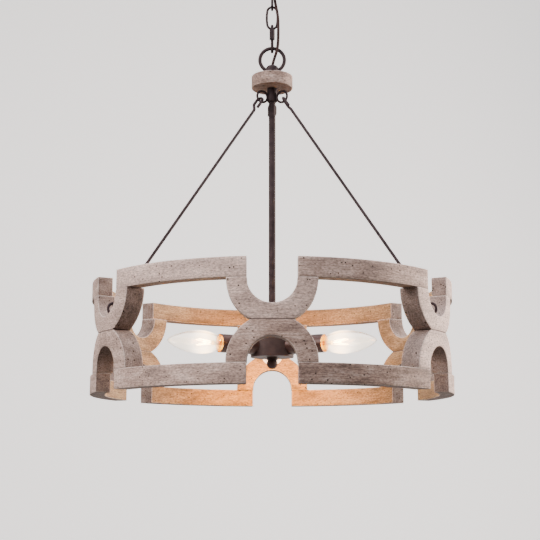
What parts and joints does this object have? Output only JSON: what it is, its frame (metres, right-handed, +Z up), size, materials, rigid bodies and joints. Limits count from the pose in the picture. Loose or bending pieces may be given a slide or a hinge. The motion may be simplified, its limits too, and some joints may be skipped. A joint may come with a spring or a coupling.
{
  "type": "pendant light",
  "caption": "Round open drum pendant light of weathered wooden half rings and bands, hung by rods and a stem from a chain, with candelabra bulbs on a central metal hub.",
  "frame": {"origin": "centre of the mounting strap's screw slots, on the ceiling plane, above the drum's axis", "axes": "+Z up along the drum's axis, +X to the right and -Y towards the viewer of the picture"},
  "size_m": [0.508, 0.508, 0.662],
  "materials": {
    "weathered_wood": "weathered grey-brown driftwood finish, matt, light worn edges",
    "dowel_wood": "plain beech, glued",
    "oil_rubbed_bronze": "oil-rubbed bronze, satin",
    "textured_bronze": "oil-rubbed bronze powder coat, fine texture",
    "brown_socket_cup": "dark reddish brown enamel, satin",
    "zinc_plated_steel": "zinc plated",
    "green_screw": "green dyed screw",
    "phenolic_socket": "dark phenolic",
    "bulb_brass": "plain brass shell",
    "clear_glass": "clear blown glass",
    "brown_cord": "limp dark brown lamp cord"
  },
  "bodies": {
    "ceiling_mount": {"mounting_strap": "zinc_plated_steel", "ground_screw": "green_screw", "threaded_nipple": "zinc_plated_steel", "nipple_nuts": "zinc_plated_steel", "canopy_loop": "oil_rubbed_bronze", "feed_cord": "brown_cord"},
    "canopy_cover": {"canopy": "oil_rubbed_bronze", "canopy_collar": "oil_rubbed_bronze"},
    "upper_link": {"chain_link_1": "oil_rubbed_bronze"},
    "lower_link": {"chain_link_2": "oil_rubbed_bronze"},
    "quick_link_body": {"quick_link": "oil_rubbed_bronze"},
    "sleeve_nut": {"quick_link_nut": "oil_rubbed_bronze"},
    "lamp": {"cap_screws": "oil_rubbed_bronze", "finial": "textured_bronze", "glue_dowels": "dowel_wood", "hub_cup": "textured_bronze", "hub_nuts": "zinc_plated_steel", "hub_plate": "textured_bronze", "lamp_wires": "brown_cord", "lower_band_1": "weathered_wood", "lower_band_2": "weathered_wood", "lower_band_3": "weathered_wood", "lower_band_4": "weathered_wood", "lower_band_5": "weathered_wood", "lower_band_6": "weathered_wood", "lower_half_ring_1": "weathered_wood", "lower_half_ring_2": "weathered_wood", "lower_half_ring_3": "weathered_wood", "lower_half_ring_4": "weathered_wood", "lower_half_ring_5": "weathered_wood", "lower_half_ring_6": "weathered_wood", "ring_collar": "oil_rubbed_bronze", "screw_eyes": "oil_rubbed_bronze", "socket_cups": "brown_socket_cup", "sockets": "phenolic_socket", "stem_tube": "oil_rubbed_bronze", "suspension_rod_1": "oil_rubbed_bronze", "suspension_rod_2": "oil_rubbed_bronze", "suspension_rod_3": "oil_rubbed_bronze", "top_loop": "oil_rubbed_bronze", "upper_band_1": "weathered_wood", "upper_band_2": "weathered_wood", "upper_band_3": "weathered_wood", "upper_band_4": "weathered_wood", "upper_band_5": "weathered_wood", "upper_band_6": "weathered_wood", "upper_half_ring_1": "weathered_wood", "upper_half_ring_2": "weathered_wood", "upper_half_ring_3": "weathered_wood", "upper_half_ring_4": "weathered_wood", "upper_half_ring_5": "weathered_wood", "upper_half_ring_6": "weathered_wood", "wood_puck": "weathered_wood"},
    "bulb_1": {"bulb_glass_1": "clear_glass", "bulb_base_1": "bulb_brass"},
    "bulb_2": {"bulb_glass_2": "clear_glass", "bulb_base_2": "bulb_brass"},
    "bulb_3": {"bulb_glass_3": "clear_glass", "bulb_base_3": "bulb_brass"}
  },
  "joints": [
    {"name": "canopy_slide", "type": "slide", "parent": "ceiling_mount", "child": "canopy_cover", "axis": [0, 0, -1], "range_m": [0, 0.025]},
    {"name": "upper_link_swing", "type": "hinge", "parent": "ceiling_mount", "child": "upper_link", "pos_m": [0, 0, -0.0561], "axis": [1, 0, 0], "range_deg": [-20, 20], "deforming": ["feed_cord"]},
    {"name": "lower_link_swing", "type": "hinge", "parent": "upper_link", "child": "lower_link", "pos_m": [0, 0, -0.0862], "axis": [0, 1, 0], "range_deg": [-20, 20], "deforming": ["feed_cord"]},
    {"name": "quick_link_swing", "type": "hinge", "parent": "lower_link", "child": "quick_link_body", "pos_m": [0, 0, -0.11665], "axis": [1, 0, 0], "range_deg": [-20, 20], "deforming": ["feed_cord"]},
    {"name": "lamp_swing", "type": "hinge", "parent": "quick_link_body", "child": "lamp", "pos_m": [0, 0, -0.15215], "axis": [0, 1, 0], "range_deg": [-20, 20], "deforming": ["feed_cord"]},
    {"name": "sleeve_nut_travel", "type": "slide", "parent": "quick_link_body", "child": "sleeve_nut", "axis": [0, 0, -1], "range_m": [0, 0.0075]},
    {"name": "bulb_1_out", "type": "slide", "parent": "lamp", "child": "bulb_1", "axis": [-0.866, -0.5, 0], "range_m": [0, 0.032]},
    {"name": "bulb_2_out", "type": "slide", "parent": "lamp", "child": "bulb_2", "axis": [0.866, -0.5, 0], "range_m": [0, 0.032]},
    {"name": "bulb_3_out", "type": "slide", "parent": "lamp", "child": "bulb_3", "axis": [0, 1, 0], "range_m": [0, 0.032]}
  ]
}
